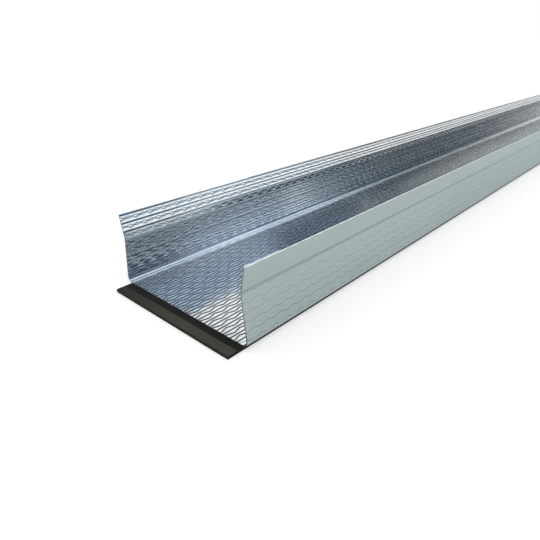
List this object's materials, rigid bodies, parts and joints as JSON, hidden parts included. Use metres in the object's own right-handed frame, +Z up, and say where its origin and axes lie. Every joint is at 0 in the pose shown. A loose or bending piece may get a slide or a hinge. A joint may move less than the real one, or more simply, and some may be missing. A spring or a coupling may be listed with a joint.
{
  "type": "steel stud track",
  "caption": "U-shaped floor and ceiling track of thin embossed galvanised steel for partition studs, with leaning flanges, flared lips and a sealing strip under the web.",
  "frame": {"origin": "middle of the length and width, on the underside of the sealing strip that lies on the floor", "axes": "+Y along the track towards the plain end, +X across the track, +Z up out of the open channel"},
  "size_m": [0.071, 2.507, 0.0315],
  "materials": {
    "galvanised_steel": "zinc coated, embossed, semi-matt",
    "cellular_rubber": "matt black closed-cell"
  },
  "bodies": {
    "root": {"track": "galvanised_steel", "sealing_strip": "cellular_rubber"}
  },
  "joints": []
}
